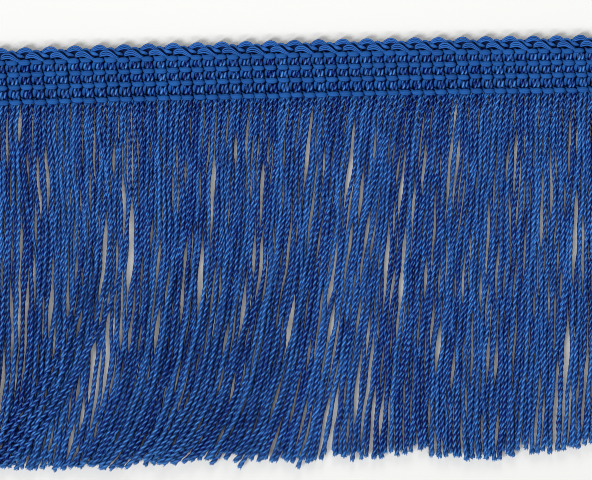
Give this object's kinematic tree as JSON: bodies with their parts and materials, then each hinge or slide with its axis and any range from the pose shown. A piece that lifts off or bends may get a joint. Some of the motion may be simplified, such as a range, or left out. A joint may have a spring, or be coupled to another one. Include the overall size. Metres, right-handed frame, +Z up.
{
  "type": "cut fringe trim",
  "caption": "Cut length of fringe trim lying flat: crocheted heading band with a scalloped loop edge and a skirt of twisted cords.",
  "frame": {"origin": "on the surface that the trim lies on, under the middle of the whole trim", "axes": "+X along the heading, +Y across the trim from the cut ends up to the scalloped edge, +Z up through the thickness"},
  "size_m": [0.163, 0.1034, 0.0039],
  "materials": {
    "heading_yarn": "royal blue rayon yarn, crocheted, satin sheen along the bars",
    "loop_cord": "royal blue rayon yarn in smooth parallel strands, satin sheen",
    "fringe_cord": "royal blue rayon, two-ply twisted cord with bright strokes on each turn",
    "fringe_cord_under": "royal blue rayon, two-ply twisted cord of the lower layer, in shade"
  },
  "bodies": {
    "root": {"heading": "heading_yarn", "scallop_edge": "loop_cord", "fringe_front": "fringe_cord", "fringe_back": "fringe_cord_under"}
  },
  "joints": []
}
